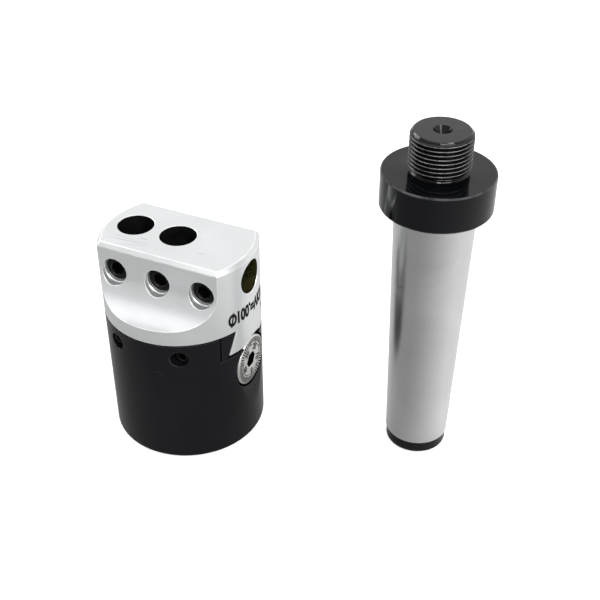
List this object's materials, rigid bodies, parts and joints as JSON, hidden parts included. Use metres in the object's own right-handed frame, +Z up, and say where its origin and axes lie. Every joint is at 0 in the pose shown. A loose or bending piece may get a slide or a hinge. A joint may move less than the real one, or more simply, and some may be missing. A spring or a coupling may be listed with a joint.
{
  "type": "boring head",
  "caption": "Boring head with a dovetailed bar holder on a round body, beside its separate Morse taper arbor with a flange and threaded stud.",
  "frame": {"origin": "bottom centre of the bounding box of the two pieces as they stand", "axes": "+Z up along the axes of the head and the arbor; +X along the slideway, toward the dial end; -Y toward the side with the clamp screws"},
  "size_m": [0.1164, 0.0614, 0.1126],
  "materials": {
    "black_oxide_steel": "black oxide, oiled and glossy",
    "plain_steel": "ground",
    "satin_steel": "satin, finely ground",
    "brass": "machined",
    "dial_steel": "satin with black engraved graduations",
    "black_screw": "black oxide",
    "arbor_steel": "ground taper; black oxide on the flange, the stud and the small end"
  },
  "bodies": {
    "head_body": {"body": "black_oxide_steel", "gib": "black_oxide_steel", "retainer_key": "plain_steel"},
    "holder": {"bar_holder": "satin_steel", "feed_nut": "brass"},
    "feed": {"feed_screw": "dial_steel"},
    "bar_clamp_left": {"bar_screw_left": "black_screw"},
    "bar_clamp_middle": {"bar_screw_middle": "black_screw"},
    "bar_clamp_right": {"bar_screw_right": "black_screw"},
    "gib_press_left": {"gib_screw_left": "black_screw"},
    "gib_press_right": {"gib_screw_right": "black_screw"},
    "taper_arbor": {"arbor": "arbor_steel"}
  },
  "joints": [
    {"name": "dial_turn", "type": "hinge", "parent": "head_body", "child": "feed", "pos_m": [-0.0332, -0.0057, 0.0292], "axis": [1, 0, 0], "range_deg": [-361, 7201]},
    {"name": "slide_feed", "type": "slide", "parent": "head_body", "child": "holder", "axis": [-1, 0, 0], "range_m": [-0.00064, 0.0127]},
    {"name": "bar_screw_left_in", "type": "slide", "parent": "holder", "child": "bar_clamp_left", "axis": [0, 1, 0], "range_m": [-0.0015, 0.002]},
    {"name": "bar_screw_middle_in", "type": "slide", "parent": "holder", "child": "bar_clamp_middle", "axis": [0, 1, 0], "range_m": [-0.0015, 0.002]},
    {"name": "bar_screw_right_in", "type": "slide", "parent": "holder", "child": "bar_clamp_right", "axis": [0, 1, 0], "range_m": [-0.0015, 0.002]},
    {"name": "gib_screw_left_in", "type": "slide", "parent": "head_body", "child": "gib_press_left", "axis": [0, 1, 0], "range_m": [-0.001, 0.0003]},
    {"name": "gib_screw_right_in", "type": "slide", "parent": "head_body", "child": "gib_press_right", "axis": [0, 1, 0], "range_m": [-0.001, 0.0003]},
    {"name": "arbor_lift", "type": "slide", "parent": "head_body", "child": "taper_arbor", "axis": [0, 0, 1], "range_m": [0, 0.05]}
  ],
  "couplings": [
    {"joint": "dial_turn", "follows": "slide_feed", "rad_per_m": 9894.8}
  ]
}
